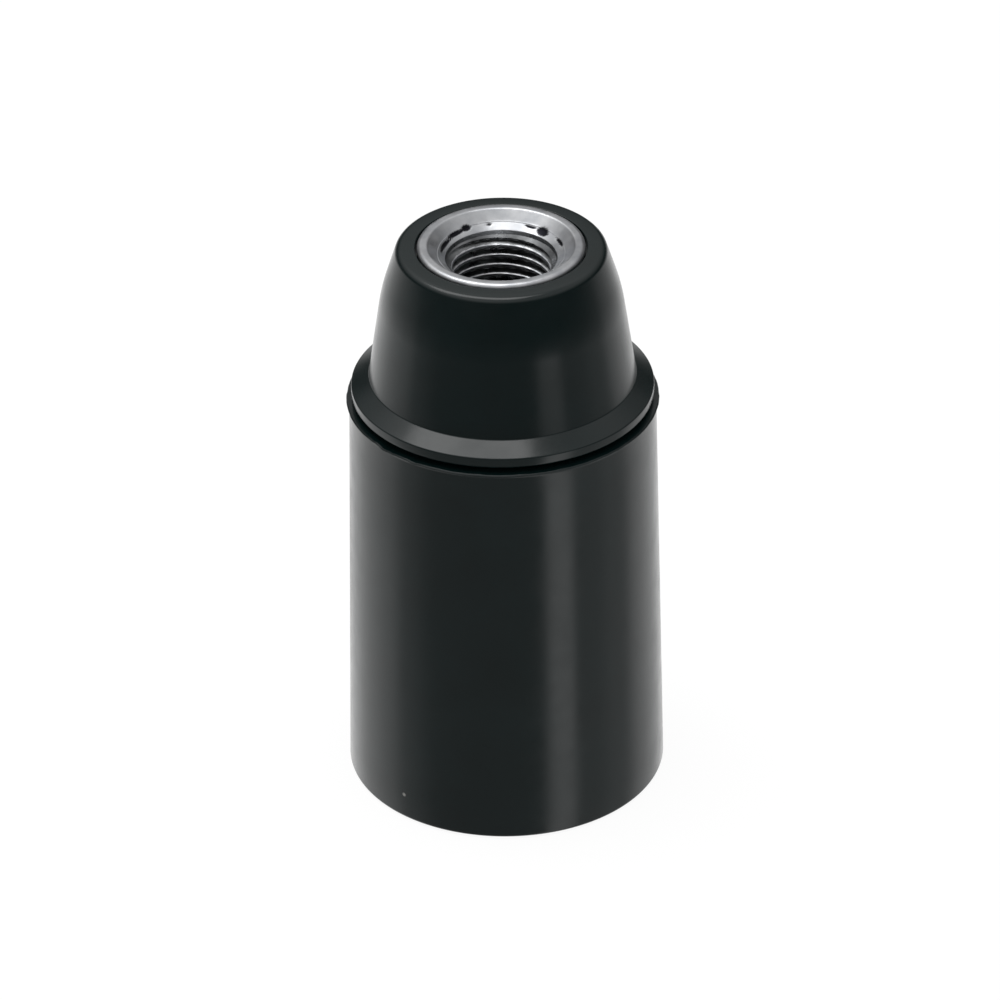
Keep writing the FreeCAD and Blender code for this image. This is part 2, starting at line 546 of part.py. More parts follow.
def clamp_washer(screw_angle):
    """Square clamping washer under a terminal screw's head, with its corners cropped."""
    x, y = polar(TERMINAL_R, screw_angle)
    bottom, top = PLATE_TOP, PLATE_TOP + CLAMP_THICK
    long, short = CLAMP_SIDE / 2, CLAMP_SIDE / 2 - CLAMP_CORNER
    corners = [(long, -short), (long, short), (short, long), (-short, long),
               (-long, short), (-long, -short), (-short, -long), (short, -long)]
    outline = Part.makePolygon([Vector(u, v, bottom) for u, v in corners + corners[:1]])
    washer = turned(Part.Face(outline).extrude(Vector(0, 0, CLAMP_THICK)), screw_angle)
    washer.translate(Vector(x, y, 0))
    return washer.cut(cylinder(SCREW_R + SCREW_HOLE_CLEARANCE, bottom, top, x, y))


def terminal_screw(screw_angle):
    """Cheese-head M3 screw with a driver's slot."""
    x, y = polar(TERMINAL_R, screw_angle)
    seat = PLATE_TOP + CLAMP_THICK
    top = seat + SCREW_HEAD_HEIGHT
    screw = revolved([
        (0, seat - SCREW_LENGTH, 0),
        (SCREW_R, seat - SCREW_LENGTH, SCREW_TIP_ROUND),
        (SCREW_R, seat, 0),
        (SCREW_HEAD_R, seat, 0),
        (SCREW_HEAD_R, top, SCREW_HEAD_ROUND),
        (0, top, 0),
    ])
    slot_length = 2 * SCREW_HEAD_R + CUTTER_REACH
    screw = screw.cut(block(slot_length, SCREW_SLOT_WIDTH, top - SCREW_SLOT_DEPTH, top + CUTTER_REACH))
    screw.translate(Vector(x, y, 0))
    return screw


def rivet(x, y, lower, upper):
    """Round-headed rivet, closed at both ends."""
    shape = revolved([
        (0, lower - RIVET_HEAD_HEIGHT, 0),
        (RIVET_HEAD_R, lower - RIVET_HEAD_HEIGHT, RIVET_HEAD_ROUND),
        (RIVET_HEAD_R, lower, 0),
        (RIVET_R, lower, 0),
        (RIVET_R, upper, 0),
        (RIVET_HEAD_R, upper, 0),
        (RIVET_HEAD_R, upper + RIVET_HEAD_HEIGHT, RIVET_HEAD_ROUND),
        (0, upper + RIVET_HEAD_HEIGHT, 0),
    ])
    shape.translate(Vector(x, y, 0))
    return shape


def pieces():
    """Every separate piece of the holder, by name."""
    named = {
        "skirt": skirt(),
        "cap": cap(),
        "entry_bush": entry_bush(),
        "bush_washer": bush_washer(),
        "insulator_core": insulator_core(),
        "screw_shell": screw_shell(),
        "centre_contact": centre_contact(),
        "neutral_terminal": terminal((SHELL_RIVET_X, 0.0), NEUTRAL_ANGLE),
        "live_terminal": terminal((0.0, LIVE_RIVET_Y), LIVE_ANGLE),
    }
    for pole, angle in (("neutral", NEUTRAL_ANGLE), ("live", LIVE_ANGLE)):
        named[pole + "_clamp_washer"] = clamp_washer(angle)
        named[pole + "_terminal_screw"] = terminal_screw(angle)
    for name, x, y, lower, upper in rivet_places():
        named[name] = rivet(x, y, lower, upper)
    return named


os.makedirs("parts", exist_ok=True)
for name, shape in pieces().items():
    solid = shape.Solids[0]
    print(f"{name:24s} solids {len(shape.Solids)} valid {solid.isValid()} volume {solid.Volume:9.3f} "
          f"z {solid.BoundBox.ZMin:7.3f} .. {solid.BoundBox.ZMax:7.3f} faces {len(solid.Faces)}")
    solid.exportStep(f"parts/{name}.step")
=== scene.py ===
"""E14 lamp holder: black thermoset cap and skirt, plated M10 x 1 entry bush, and the works inside."""

import math

import bmesh
import bpy
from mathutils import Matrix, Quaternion, Vector


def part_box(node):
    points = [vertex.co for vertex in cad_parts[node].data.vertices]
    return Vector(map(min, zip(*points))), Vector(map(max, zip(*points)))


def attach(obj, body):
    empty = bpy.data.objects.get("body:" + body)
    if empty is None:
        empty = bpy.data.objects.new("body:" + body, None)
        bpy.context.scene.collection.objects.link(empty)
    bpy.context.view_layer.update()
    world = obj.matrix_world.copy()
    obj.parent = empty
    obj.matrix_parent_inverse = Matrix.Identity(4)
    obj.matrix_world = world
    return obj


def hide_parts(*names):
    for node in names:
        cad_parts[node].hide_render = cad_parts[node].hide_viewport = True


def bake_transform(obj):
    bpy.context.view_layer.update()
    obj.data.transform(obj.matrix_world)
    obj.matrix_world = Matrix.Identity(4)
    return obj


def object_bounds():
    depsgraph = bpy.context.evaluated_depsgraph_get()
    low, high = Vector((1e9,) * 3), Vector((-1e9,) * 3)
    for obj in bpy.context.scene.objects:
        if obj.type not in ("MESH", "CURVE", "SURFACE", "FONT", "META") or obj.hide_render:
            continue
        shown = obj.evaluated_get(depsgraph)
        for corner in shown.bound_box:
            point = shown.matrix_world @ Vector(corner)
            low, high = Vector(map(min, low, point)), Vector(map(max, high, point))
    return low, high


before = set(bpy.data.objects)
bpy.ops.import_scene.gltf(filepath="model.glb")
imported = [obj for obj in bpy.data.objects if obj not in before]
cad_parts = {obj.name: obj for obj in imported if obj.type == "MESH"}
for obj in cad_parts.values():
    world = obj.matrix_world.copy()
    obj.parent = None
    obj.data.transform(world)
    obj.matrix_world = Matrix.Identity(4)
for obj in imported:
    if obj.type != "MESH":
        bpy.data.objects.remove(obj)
cad_low, cad_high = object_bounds()


# ---- Camera ---------------------------------------------------------------------------------------
# A long lens looks down on the front of the holder. It is rolled a little, so the rims rise to the right.
VIEW_DISTANCE = 0.5789
VIEW_ELEVATION = math.radians(34.0)
VIEW_ROLL = math.radians(-0.67)
VIEW_AIM = Vector((-0.00037, 0.0, cad_high.z * 0.5046))
LENS = 218.9

bpy.ops.object.camera_add()
camera = bpy.context.object
camera.location = Vector((0, -math.cos(VIEW_ELEVATION), math.sin(VIEW_ELEVATION))) * VIEW_DISTANCE
camera.rotation_mode = "QUATERNION"
looking = (VIEW_AIM - camera.location).to_track_quat("-Z", "Y")
camera.rotation_quaternion = looking @ Quaternion((0, 0, 1), VIEW_ROLL)
camera.data.lens = LENS
camera.data.sensor_width = 36.0
camera.data.clip_start = 0.01
bpy.context.scene.camera = camera
bpy.context.scene.view_settings.view_transform = "Standard"


# ---- Studio: world, table and lamps ---------------------------------------------------------------
# White behind the holder and black on the camera's side, so the black moulding shows bright edges and a dark
# front. Gloss sees the room by direction alone, below the horizon as well as above it.
def feed(links, socket, value):
    """Sets a socket to a number or a colour, or links another socket to it."""
    if isinstance(value, bpy.types.NodeSocket):
        links.new(value, socket)
    else:
        socket.default_value = value


def number_node(nodes, links, operation, first, second=0.0):
    """The result of one Math node on numbers or sockets."""
    node = nodes.new("ShaderNodeMath")
    node.operation = operation
    feed(links, node.inputs[0], first)
    feed(links, node.inputs[1], second)
    return node.outputs[0]


def range_node(nodes, links, value, low, high, new_low, new_high, interpolation="LINEAR"):
    """A value's span from low to high brought to a new span, and held at its ends."""
    node = nodes.new("ShaderNodeMapRange")
    node.interpolation_type = interpolation
    limits = {"From Min": low, "From Max": high, "To Min": new_low, "To Max": new_high}
    for label, number in limits.items():
        node.inputs[label].default_value = number
    links.new(value, node.inputs["Value"])
    return node.outputs["Result"]


def ramped(nodes, links, value, stops):
    """A level that follows a value smoothly through stops (value, level)."""
    level = stops[0][1]
    for (start, low), (end, high) in zip(stops, stops[1:]):
        step = range_node(nodes, links, value, start, end, 0.0, high - low, "SMOOTHSTEP")
        level = number_node(nodes, links, "ADD", step, level)
    return level


def mixed(nodes, links, factor, first, second):
    """A number between two numbers or sockets."""
    mix = nodes.new("ShaderNodeMix")
    for place, value in ((0, factor), (2, first), (3, second)):
        feed(links, mix.inputs[place], value)
    return mix.outputs[0]


def seen_directly(nodes, links):
    """A socket that is 1 for camera and transmission rays, and the Light Path node itself."""
    path = nodes.new("ShaderNodeLightPath")
    return number_node(nodes, links, "MAXIMUM", path.outputs["Is Camera Ray"],
                       path.outputs["Is Transmission Ray"]), path


WORLD_DIFFUSE = 0.50      # what lights matt surfaces
LEFT_LEAN = 0.17          # how much more the room's left side counts as behind
LOWER_ROOM = ((-0.85, 0.20), (-0.42, 0.21), (-0.03, 0.38), (0.22, 0.73), (0.50, 0.87), (0.80, 1.10))
NEAR_HORIZON = ((-0.50, 1.00), (-0.10, 0.45))   # how the lower room dims towards the horizon
UPPER_ROOM = ((0.25, 0.06), (0.50, 0.33), (0.72, 0.60), (1.00, 0.45))   # against the direction's height
UPPER_SIDES = ((-0.50, 1.15), (0.55, 0.80))     # and from its left to its right
CARDS = (                 # pale cards low on the right of the camera: azimuth, half width, soft edge, level
    (math.radians(41.5), math.radians(6.0), math.radians(9.0), 0.78),
    (math.radians(72.0), math.radians(10.0), math.radians(14.0), 0.14),
)
CARD_HEIGHT = ((-0.34, 1.0), (-0.14, 0.0))
HORIZON = ((-0.12, 0.0), (0.05, 1.0))           # where the lower room gives way to the upper

world = bpy.data.worlds.new("room")
bpy.context.scene.world = world
world.use_nodes = True
nodes, links = world.node_tree.nodes, world.node_tree.links
direct, path = seen_directly(nodes, links)
axes = nodes.new("ShaderNodeSeparateXYZ")
links.new(nodes.new("ShaderNodeTexCoord").outputs["Generated"], axes.inputs[0])
across, back, up = axes.outputs
lean = number_node(nodes, links, "MULTIPLY", across, LEFT_LEAN)
leaning = number_node(nodes, links, "SUBTRACT", back, lean)
low_room = ramped(nodes, links, leaning, LOWER_ROOM)
azimuth = number_node(nodes, links, "ARCTAN2", across, number_node(nodes, links, "MULTIPLY", back, -1.0))
cards = 0.0
for middle, half, edge, level in CARDS:
    offset = number_node(nodes, links, "ABSOLUTE", number_node(nodes, links, "SUBTRACT", azimuth, middle))
    card = ramped(nodes, links, offset, ((half, level), (half + edge, 0.0)))
    cards = number_node(nodes, links, "ADD", card, cards)
cards = number_node(nodes, links, "MULTIPLY", cards, ramped(nodes, links, up, CARD_HEIGHT))
low_room = number_node(nodes, links, "MULTIPLY", low_room, ramped(nodes, links, up, NEAR_HORIZON))
low_room = number_node(nodes, links, "ADD", low_room, cards)
high_room = number_node(nodes, links, "MULTIPLY", ramped(nodes, links, up, UPPER_ROOM),
                        ramped(nodes, links, across, UPPER_SIDES))
gloss = mixed(nodes, links, ramped(nodes, links, up, HORIZON), low_room, high_room)
indirect = mixed(nodes, links, path.outputs["Is Glossy Ray"], WORLD_DIFFUSE, gloss)
strength = mixed(nodes, links, direct, indirect, 1.0)
links.new(strength, nodes["Background"].inputs["Strength"])
nodes["Background"].inputs["Color"].default_value = (1, 1, 1, 1)

TABLE_GLOW = 1.10         # with the shading below, a clear stretch of the table comes out white
TABLE_SHADE = 0.16        # how much of the table's look is its own shading
TABLE_SIZE = 6.0
TABLE_TOP = -0.0001       # a hair below the rim that the holder stands on

bpy.ops.mesh.primitive_plane_add(size=TABLE_SIZE, location=(0, 0, TABLE_TOP))
table = bpy.context.object
table.name = "table"
table.visible_glossy = False
material = bpy.data.materials.new("table_sheet")
material.use_nodes = True
nodes, links = material.node_tree.nodes, material.node_tree.links
sheet = nodes["Principled BSDF"]
sheet.inputs["Base Color"].default_value = (0.86, 0.86, 0.86, 1)
sheet.inputs["Roughness"].default_value = 0.9
direct, path = seen_directly(nodes, links)
glow = nodes.new("ShaderNodeEmission")
glow.inputs["Strength"].default_value = TABLE_GLOW
blend = nodes.new("ShaderNodeMixShader")
links.new(number_node(nodes, links, "MULTIPLY", direct, 1 - TABLE_SHADE), blend.inputs[0])
links.new(sheet.outputs[0], blend.inputs[1])
links.new(glow.outputs[0], blend.inputs[2])
links.new(blend.outputs[0], nodes["Material Output"].inputs["Surface"])
table.data.materials.append(material)


def soft_box(name, place, aim, width, height, power):
    """A rectangular lamp at a place, turned to an aim, that the camera doesn't see."""
    bpy.ops.object.light_add(type="AREA", location=place)
    lamp = bpy.context.object
    lamp.name = name
    lamp.data.shape = "RECTANGLE"
    lamp.data.size = width
    lamp.data.size_y = height
    lamp.data.energy = power
    lamp.rotation_euler = (Vector(aim) - Vector(place)).to_track_quat("-Z", "Y").to_euler()
    lamp.visible_camera = False
    return lamp


soft_box("overhead", place=(-0.13, 0.045, 0.69), aim=(0, 0, 0.045), width=0.34, height=0.62, power=1.38)


# ---- Skirt ----------------------------------------------------------------------------------------
# The long plain lower shell, pressed in black phenolic with a slight draft, open at the bottom. Inside it
# has the core's ledge and the thread that the cap screws into. It leaves the mould with a satin gloss.
MM = 0.001
SMOOTH_BELOW = math.radians(32)   # faces that meet at less than this are shaded as one curve


def rounded(corners, steps=6):
    """Outline points in millimetres through corners (radius, height, rounding)."""
    points = [Vector((r, z)) for r, z, _ in corners]
    outline = []
    for i, (_, _, rounding) in enumerate(corners):
        here = points[i]
        if not rounding:
            outline.append(here)
            continue
        back = (points[i - 1] - here).normalized()
        ahead = (points[(i + 1) % len(points)] - here).normalized()
        half = back.angle(ahead) / 2
        start = here + back * (rounding / math.tan(half))
        end = here + ahead * (rounding / math.tan(half))
        centre = here + (back + ahead).normalized() * (rounding / math.sin(half))
        for n in range(steps + 1):
            spoke = (start - centre).lerp(end - centre, n / steps)
            outline.append(centre + spoke.normalized() * rounding)
    return outline


def subdivided(outline, spacing, low, high, radius_limits):
    """The outline with its upright runs between two heights and two radii cut into short steps."""
    fine = []
    for i, here in enumerate(outline):
        ahead = outline[(i + 1) % len(outline)]
        fine.append(here)
        inside = all(radius_limits[0] <= p.x <= radius_limits[1] for p in (here, ahead))
        if not inside or min(here.y, ahead.y) > high or max(here.y, ahead.y) < low:
            continue
        steps = max(1, round((ahead - here).length / spacing))
        fine += [here.lerp(ahead, n / steps) for n in range(1, steps)]
    return fine


def lathe(name, outline, segments=192, closed=True):
    """A round piece, extruded ring by ring along an outline in millimetres. A closed outline joins up with
    its start; an open one is capped at both ends."""
    bpy.ops.object.select_all(action="DESELECT")
    fill = "NOTHING" if closed else "NGON"
    radius, height = outline[0]
    bpy.ops.mesh.primitive_circle_add(vertices=segments, radius=radius * MM, fill_type=fill,
                                      location=(0, 0, height * MM))
    piece = bpy.context.object
    piece.name = name
    bpy.ops.object.transform_apply(location=True, rotation=True, scale=True)
    bpy.ops.object.mode_set(mode="EDIT")
    bpy.ops.mesh.select_mode(type="EDGE")
    bpy.ops.mesh.select_all(action="SELECT")
    for next_radius, next_height in outline[1:]:
        bpy.ops.mesh.extrude_edges_move(TRANSFORM_OT_translate={"value": (0, 0, (next_height - height) * MM)})
        grow = next_radius / radius
        bpy.ops.transform.resize(value=(grow, grow, 1), center_override=(0, 0, 0))
        radius, height = next_radius, next_height
    if closed:
        bpy.ops.mesh.select_all(action="DESELECT")
        bpy.ops.mesh.select_non_manifold()
        bpy.ops.mesh.bridge_edge_loops()
    else:
        bpy.ops.mesh.edge_face_add()
    bpy.ops.mesh.select_all(action="SELECT")
    bpy.ops.mesh.normals_make_consistent(inside=False)
    bpy.ops.object.mode_set(mode="OBJECT")
    return piece


def cut_thread(piece, level, pitch, form, low, high, radius_limits, first_turn=-math.inf, last_turn=math.inf):
    """Moves a wall's points out to a right-hand thread, between two heights, two radii and two turns. The form
    gives a radius from the distance, along the axis, to the thread's middle line. All in millimetres."""
    bpy.ops.object.select_all(action="DESELECT")
    piece.select_set(True)
    bpy.context.view_layer.objects.active = piece
    bpy.ops.object.mode_set(mode="EDIT")
    mesh = bmesh.from_edit_mesh(piece.data)
    for vertex in mesh.verts:
        x, y, z = vertex.co / MM
        radius = math.hypot(x, y)
        if not (radius_limits[0] <= radius <= radius_limits[1] and low <= z <= high):
            continue
        around = math.atan2(y, x) / (2 * math.pi) % 1.0
        turn = round((z - level) / pitch - around) + around
        if not first_turn <= turn <= last_turn:
            continue
        wanted = max(radius, form(abs(z - level - pitch * turn)))
        vertex.co.x *= wanted / radius
        vertex.co.y *= wanted / radius
    bmesh.update_edit_mesh(piece.data)
    bpy.ops.object.mode_set(mode="OBJECT")


def finish_piece(piece, material, body, slot, *nodes):
    """Smooths a piece, paints it, hangs it on its body, and hides the solids it stands for."""
    bpy.ops.object.select_all(action="DESELECT")
    piece.select_set(True)
    bpy.context.view_layer.objects.active = piece
    bpy.ops.object.shade_smooth_by_angle(angle=SMOOTH_BELOW)
    piece.data.materials.clear()
    piece.data.materials.append(material)
    if nodes:
        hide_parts(*nodes)
    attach(piece, body)
    return piece


def group_with(name, inputs, outputs):
    """An empty shader node group with named inputs (name, type, default) and outputs (name, type)."""
    group = bpy.data.node_groups.new(name, "ShaderNodeTree")
    for label, kind, default in inputs:
        socket = group.interface.new_socket(label, in_out="INPUT", socket_type=kind)
        socket.default_value = default
    for label, kind in outputs:
        group.interface.new_socket(label, in_out="OUTPUT", socket_type=kind)
    entry = group.nodes.new("NodeGroupInput")
    out = group.nodes.new("NodeGroupOutput")
    return group, entry, out


def noise_node(nodes, links, vector, scale, detail, roughness=0.5):
    """Cloudy values between 0 and 1."""
    node = nodes.new("ShaderNodeTexNoise")
    for label, number in {"Scale": scale, "Detail": detail, "Roughness": roughness}.items():
        node.inputs[label].default_value = number
    links.new(vector, node.inputs["Vector"])
    return node.outputs["Fac"]


def colour_node(nodes, links, factor, first, second):
    """A colour between two colours or sockets."""
    mix = nodes.new("ShaderNodeMix")
    mix.data_type = "RGBA"
    for place, value in ((0, factor), (6, first), (7, second)):
        feed(links, mix.inputs[place], value)
    return mix.outputs[2]


def surfaced(name, group, values, bump_strength, bump_depth):
    """A material whose colour, roughness and fine relief come from a skin group with these input values. The
    depth is in millimetres. Also its shader and the group's node."""
    material = bpy.data.materials.new(name)
    material.use_nodes = True
    nodes, links = material.node_tree.nodes, material.node_tree.links
    shader = nodes["Principled BSDF"]
    skin = nodes.new("ShaderNodeGroup")
    skin.node_tree = group
    for label, value in values.items():
        skin.inputs[label].default_value = value
    place = nodes.new("ShaderNodeTexCoord")
    links.new(place.outputs["Object"], skin.inputs["Vector"])
    relief = nodes.new("ShaderNodeBump")
    relief.inputs["Strength"].default_value = bump_strength
    relief.inputs["Distance"].default_value = bump_depth * MM
    links.new(skin.outputs["Height"], relief.inputs["Height"])
    links.new(skin.outputs["Color"], shader.inputs["Base Color"])
    links.new(skin.outputs["Roughness"], shader.inputs["Roughness"])
    links.new(relief.outputs["Normal"], shader.inputs["Normal"])
    return material, shader, skin


DUST_COLOUR = (0.42, 0.41, 0.39, 1)
DUST_CELLS = 210              # the pattern's scale: each cell may hold one grain
DUST_CHOSEN = (0.972, 0.975)  # only cells with a draw above this have a grain
DUST_GRAIN = (0.02, 0.05)     # a grain's full core and its edge, in cells


def moulding_group():
    """Pressed phenolic: cloudy tone, a fine skin that breaks up the gloss, and a few grains of pale dust."""
    group, entry, out = group_with(
        "moulded_skin",
        [("Vector", "NodeSocketVector", (0, 0, 0)), ("Dark", "NodeSocketColor", (0.01, 0.01, 0.01, 1)),
         ("Light", "NodeSocketColor", (0.02, 0.02, 0.02, 1)), ("Roughness", "NodeSocketFloat", 0.3),
         ("Dust", "NodeSocketFloat", 0.5)],
        [("Color", "NodeSocketColor"), ("Roughness", "NodeSocketFloat"), ("Height", "NodeSocketFloat")])
    nodes, links = group.nodes, group.links
    vector = entry.outputs["Vector"]

    clouds = range_node(nodes, links, noise_node(nodes, links, vector, 130, 3, 0.6), 0.3, 0.72, 0, 1)
    tone = colour_node(nodes, links, clouds, entry.outputs["Dark"], entry.outputs["Light"])
    cells = nodes.new("ShaderNodeTexVoronoi")
    cells.inputs["Scale"].default_value = DUST_CELLS
    links.new(vector, cells.inputs["Vector"])
    draw = nodes.new("ShaderNodeSeparateColor")
    links.new(cells.outputs["Color"], draw.inputs[0])
    chosen = range_node(nodes, links, draw.outputs[0], *DUST_CHOSEN, 0, 1)
    grain = range_node(nodes, links, cells.outputs["Distance"], *DUST_GRAIN, 1, 0)
    dust = number_node(nodes, links, "MULTIPLY", grain, chosen)
    dust = number_node(nodes, links, "MULTIPLY", dust, entry.outputs["Dust"])
    links.new(colour_node(nodes, links, dust, tone, DUST_COLOUR), out.inputs["Color"])

    uneven = range_node(nodes, links, noise_node(nodes, links, vector, 420, 2), 0.3, 0.7, -0.035, 0.035)
    patches = range_node(nodes, links, noise_node(nodes, links, vector, 60, 2), 0.3, 0.7, -0.03, 0.03)
    rough = number_node(nodes, links, "ADD", uneven, patches)
    rough = number_node(nodes, links, "ADD", rough, entry.outputs["Roughness"])
    rough = number_node(nodes, links, "ADD", rough, number_node(nodes, links, "MULTIPLY", dust, 0.3))
    links.new(rough, out.inputs["Roughness"])

    height = number_node(nodes, links, "MULTIPLY", noise_node(nodes, links, vector, 1500, 2), 0.35)
    height = number_node(nodes, links, "ADD", height, noise_node(nodes, links, vector, 260, 1))
    links.new(number_node(nodes, links, "ADD", height, dust), out.inputs["Height"])
    return group


moulded_skin = moulding_group()


def phenolic(name, dark, light, roughness, dust):
    """Material for a pressed phenolic piece."""
    values = {"Dark": (*dark, 1), "Light": (*light, 1), "Roughness": roughness, "Dust": dust}
    material, shader, _ = surfaced(name, moulded_skin, values, bump_strength=0.35, bump_depth=0.012)
    shader.inputs["IOR"].default_value = 1.6
    return material


black_phenolic = phenolic("black_phenolic", dark=(0.0024, 0.0088, 0.0088), light=(0.0038, 0.0122, 0.0126),
                          roughness=0.21, dust=0.8)

_, skirt_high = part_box("skirt")
MOUTH_R = skirt_high.x / MM - 0.08
SKIRT_TOP = skirt_high.z / MM - 0.08
SKIRT_TOP_R = MOUTH_R - 0.78
RIM_FLARE = 0.32              # a thin flash stands out round the top rim
SKIRT_WALL = 1.95
LEDGE_TOP = 25.0
LEDGE_BOTTOM = 23.0
CHAMBER_R = 12.40
LEDGE_HOLE_R = 8.75
CAP_PITCH = 2.0
CAP_THREAD_LEVEL = 35.0       # where the groove begins, at +X
SPIGOT_END = 34.0
FEMALE_CREST_R = 12.30
FEMALE_ROOT_R = 13.10
FEMALE_BAND = (12.20, 12.45)  # radii on either side of the wall that the thread is cut in
THREAD_STEP = 0.10            # between the points of a wall that a thread is cut in

bore_r = MOUTH_R - SKIRT_WALL
outline = rounded([
    (bore_r, 0, 0.35),
    (MOUTH_R, 0, 0.35),
    (SKIRT_TOP_R, SKIRT_TOP - 0.42, 0.20),
    (SKIRT_TOP_R + RIM_FLARE, SKIRT_TOP - 0.14, 0.06),
    (SKIRT_TOP_R + RIM_FLARE - 0.12, SKIRT_TOP, 0.05),
    (FEMALE_CREST_R, SKIRT_TOP, 0.12),
    (FEMALE_CREST_R, SPIGOT_END, 0),
    (CHAMBER_R, SPIGOT_END - 0.3, 0),
    (CHAMBER_R, LEDGE_TOP, 0),
    (LEDGE_HOLE_R, LEDGE_TOP, 0.15),
    (LEDGE_HOLE_R, LEDGE_BOTTOM, 0.35),
    (bore_r - 0.30, LEDGE_BOTTOM, 0.80),
])
outline = subdivided(outline, THREAD_STEP, SPIGOT_END, SKIRT_TOP, FEMALE_BAND)
outline = subdivided(outline, 2.5, 0, SKIRT_TOP, (12.0, MOUTH_R))
skirt = lathe("skirt_shell", outline)


def female_form(offset):
    """Groove of the cap's thread: flat root, sloping flanks."""
    half_root, half_mouth = 0.38, 0.74
    down = min(1.0, max(0.0, (offset - half_root) / (half_mouth - half_root)))
    return FEMALE_ROOT_R + (FEMALE_CREST_R - FEMALE_ROOT_R) * down


def ragged_rim(piece, low, inner_r):
    """Leaves the flash round a rim uneven, and broken off in one place at the front left. In millimetres."""
    break_at, break_half = math.radians(-138.0), math.radians(20.0)
    for vertex in piece.data.vertices:
        x, y, z = vertex.co / MM
        if z < low or math.hypot(x, y) < inner_r:
            continue
        angle = math.atan2(y, x)
        wave = 0.5 + 0.25 * (math.sin(23 * angle + 0.7) + math.sin(57 * angle) * math.sin(9 * angle + 2.0))
        broken = max(0.0, 1 - abs(angle - break_at) / break_half)
        vertex.co.z -= (0.10 * wave + 0.30 * broken * wave) * MM
        shrink = 1 - (0.06 * wave + 0.16 * broken) / math.hypot(x, y)
        vertex.co.x *= shrink
        vertex.co.y *= shrink


cut_thread(skirt, CAP_THREAD_LEVEL, CAP_PITCH, female_form, SPIGOT_END + 0.1, SKIRT_TOP, FEMALE_BAND,
           first_turn=0.0)
ragged_rim(skirt, SKIRT_TOP - 0.30, SKIRT_TOP_R + 0.10)
finish_piece(skirt, black_phenolic, "skirt", "thermoset", "skirt")


# ---- Cap ------------------------------------------------------------------------------------------
# The domed upper moulding. Its collar stands over the skirt's top with a dark gap between, and the spigot
# below carries the thread.
_, cap_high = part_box("cap")
CAP_TOP = cap_high.z / MM
COLLAR_R = SKIRT_TOP_R - 0.20
COLLAR_BOTTOM = SKIRT_TOP + 0.40
COLLAR_EDGE = COLLAR_BOTTOM + 1.00
DOME_FOOT = COLLAR_EDGE + 1.02
DOME_TOP = CAP_TOP - 0.25
DOME_FOOT_R = 12.25
DOME_BEND_R = 10.97           # where the dome's side turns in, far down its wide curve
DOME_TOP_R = 9.52
INNER_FOOT_R = 10.10          # the hollow inside the dome, at its foot and under its top
INNER_TOP_R = 8.45
INNER_TOP = CAP_TOP - 3.0
SPIGOT_ROOT_R = 12.05
SPIGOT_BORE_R = 10.30
SPIGOT_BAND = (12.00, 12.10)  # radii on either side of the wall that carries the thread
MALE_DEPTH = 0.80
BOSS_R = 7.90                 # the boss round the bush, inside
BOSS_BOTTOM = CAP_TOP - 6.4
LIP_SEAT = CAP_TOP + 0.06 - 0.95
LIP_RECESS_R = 7.83
SLEEVE_HOLE_R = 5.83

outline = rounded([
    (SPIGOT_BORE_R, SPIGOT_END, 0.15),
    (SPIGOT_ROOT_R, SPIGOT_END, 0.35),
    (SPIGOT_ROOT_R, COLLAR_BOTTOM, 0.35),
    (COLLAR_R, COLLAR_BOTTOM, 0.28),
    (COLLAR_R, COLLAR_EDGE, 0.16),
    (DOME_FOOT_R, DOME_FOOT, 0.16),
    (DOME_BEND_R, DOME_TOP - 4.6, 18.0),
    (DOME_TOP_R, DOME_TOP - 0.08, 0.70),
    (LIP_RECESS_R, DOME_TOP, 0.08),
    (LIP_RECESS_R, LIP_SEAT, 0),
    (SLEEVE_HOLE_R, LIP_SEAT, 0),
    (SLEEVE_HOLE_R, BOSS_BOTTOM, 0),
    (BOSS_R, BOSS_BOTTOM, 0.35),
    (BOSS_R, INNER_TOP, 0.25),
    (INNER_TOP_R, INNER_TOP, 0.25),
    (INNER_FOOT_R, DOME_FOOT, 0),
    (SPIGOT_BORE_R, COLLAR_BOTTOM, 0),
], steps=8)
outline = subdivided(outline, THREAD_STEP, SPIGOT_END + 0.3, COLLAR_BOTTOM - 0.3, SPIGOT_BAND)
cap = lathe("cap_dome", outline)


def male_form(offset):
    """Ridge of the cap's thread: flat crest, sloping flanks."""
    half_crest, half_base = 0.30, 0.65
    down = min(1.0, max(0.0, (offset - half_crest) / (half_base - half_crest)))
    return SPIGOT_ROOT_R + MALE_DEPTH * (1 - down)


cut_thread(cap, CAP_THREAD_LEVEL, CAP_PITCH, male_form, SPIGOT_END + 0.35, COLLAR_BOTTOM - 0.4, SPIGOT_BAND,
           first_turn=0.04, last_turn=1.83)
finish_piece(cap, black_phenolic, "cap", "thermoset", "cap")


# ---- Entry bush -----------------------------------------------------------------------------------
# A zinc-plated steel bush with a rounded lip and a dished mouth. Its M10 x 1 thread is cut right through,
# and its lower end is clenched under a washer inside the cap.
bush_low, bush_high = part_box("entry_bush")
BUSH_TOP = bush_high.z / MM - 0.06
BUSH_BOTTOM = bush_low.z / MM
LIP_R = bush_high.x / MM
ENTRY_CREST_R = 4.46
ENTRY_ROOT_R = 5.02
ENTRY_PITCH = 1.0
BORE_BAND = (4.40, 5.00)      # radii on either side of the bore's wall
CLENCH_R = 6.75               # the lower end, clenched out under the washer
CLENCH_TOP = BUSH_BOTTOM + 0.8
SLEEVE_R = 5.75
DISH_MOUTH_R = 6.72
DISH_BEND_R = 5.85
DISH_FLOOR_R = 5.10
DISH_FLOOR = BUSH_TOP - 1.40
THROAT_R = 5.00               # the short step from the dish down into the thread

